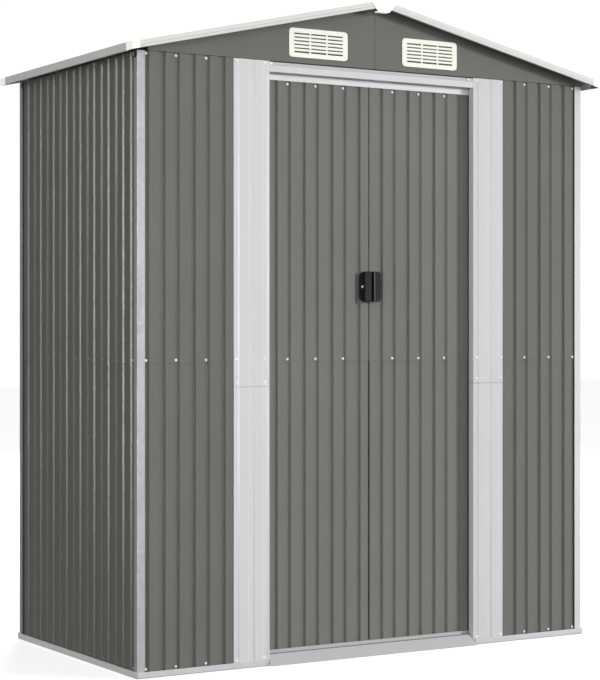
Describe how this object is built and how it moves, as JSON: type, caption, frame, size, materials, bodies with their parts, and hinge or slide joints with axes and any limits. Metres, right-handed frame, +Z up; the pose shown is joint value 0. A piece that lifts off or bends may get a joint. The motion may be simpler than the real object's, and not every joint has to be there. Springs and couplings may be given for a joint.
{
  "type": "metal storage shed with sliding doors",
  "caption": "Metal storage shed: ribbed sheet walls on base rails and corner posts, a low gable roof, louvre vents, and sliding doors that part behind the front walls.",
  "frame": {"origin": "centre of the footprint on the plane that the base rails stand on", "axes": "+X along the front towards the right-hand corner seen from in front, +Y from the doors to the back wall, +Z up"},
  "size_m": [1.892, 1.0932, 2.2412],
  "materials": {
    "sheet_grey": "dark grey coated ribbed sheet steel, satin",
    "white_steel": "off-white coated sheet steel, satin",
    "galvanised_steel": "light grey zinc-coated steel, satin",
    "frame_steel": "zinc-coated frame section, matt",
    "roof_grey": "dark grey coated ribbed sheet steel, satin",
    "cream_plastic": "cream-white moulded plastic",
    "black_plastic": "black moulded plastic"
  },
  "bodies": {
    "shed": {"back_wall_lower": "sheet_grey", "back_wall_upper": "sheet_grey", "base_rail_back": "galvanised_steel", "base_rail_front": "galvanised_steel", "base_rail_left": "galvanised_steel", "base_rail_right": "galvanised_steel", "corner_post_back_left": "galvanised_steel", "corner_post_back_right": "galvanised_steel", "corner_post_front_left": "galvanised_steel", "corner_post_front_right": "galvanised_steel", "door_floor_track": "frame_steel", "door_header": "white_steel", "door_header_track": "frame_steel", "door_jamb_left": "white_steel", "door_jamb_right": "white_steel", "door_threshold": "white_steel", "front_wall_left_lower": "sheet_grey", "front_wall_left_upper": "sheet_grey", "front_wall_right_lower": "sheet_grey", "front_wall_right_upper": "sheet_grey", "gable_back": "sheet_grey", "gable_front": "sheet_grey", "gable_vents": "cream_plastic", "left_wall_lower": "sheet_grey", "left_wall_upper": "sheet_grey", "right_wall_lower": "sheet_grey", "right_wall_upper": "sheet_grey", "roof_end_caps": "cream_plastic", "roof_panel_left": "roof_grey", "roof_panel_right": "roof_grey", "roof_purlins": "frame_steel", "roof_ridge_cap": "white_steel", "roof_trim_eaves": "white_steel", "roof_trim_gables": "white_steel", "wall_rails": "frame_steel"},
    "door_left": {"door_left_handle": "black_plastic", "door_left_rails": "white_steel", "door_left_sheet_lower": "sheet_grey", "door_left_sheet_upper": "sheet_grey", "door_left_shoes": "black_plastic"},
    "door_right": {"door_right_handle": "black_plastic", "door_right_rails": "white_steel", "door_right_sheet_lower": "sheet_grey", "door_right_sheet_upper": "sheet_grey", "door_right_shoes": "black_plastic"}
  },
  "joints": [
    {"name": "door_left_slide", "type": "slide", "parent": "shed", "child": "door_left", "axis": [-1, 0, 0], "range_m": [0, 0.36]},
    {"name": "door_right_slide", "type": "slide", "parent": "shed", "child": "door_right", "axis": [1, 0, 0], "range_m": [0, 0.36]}
  ]
}
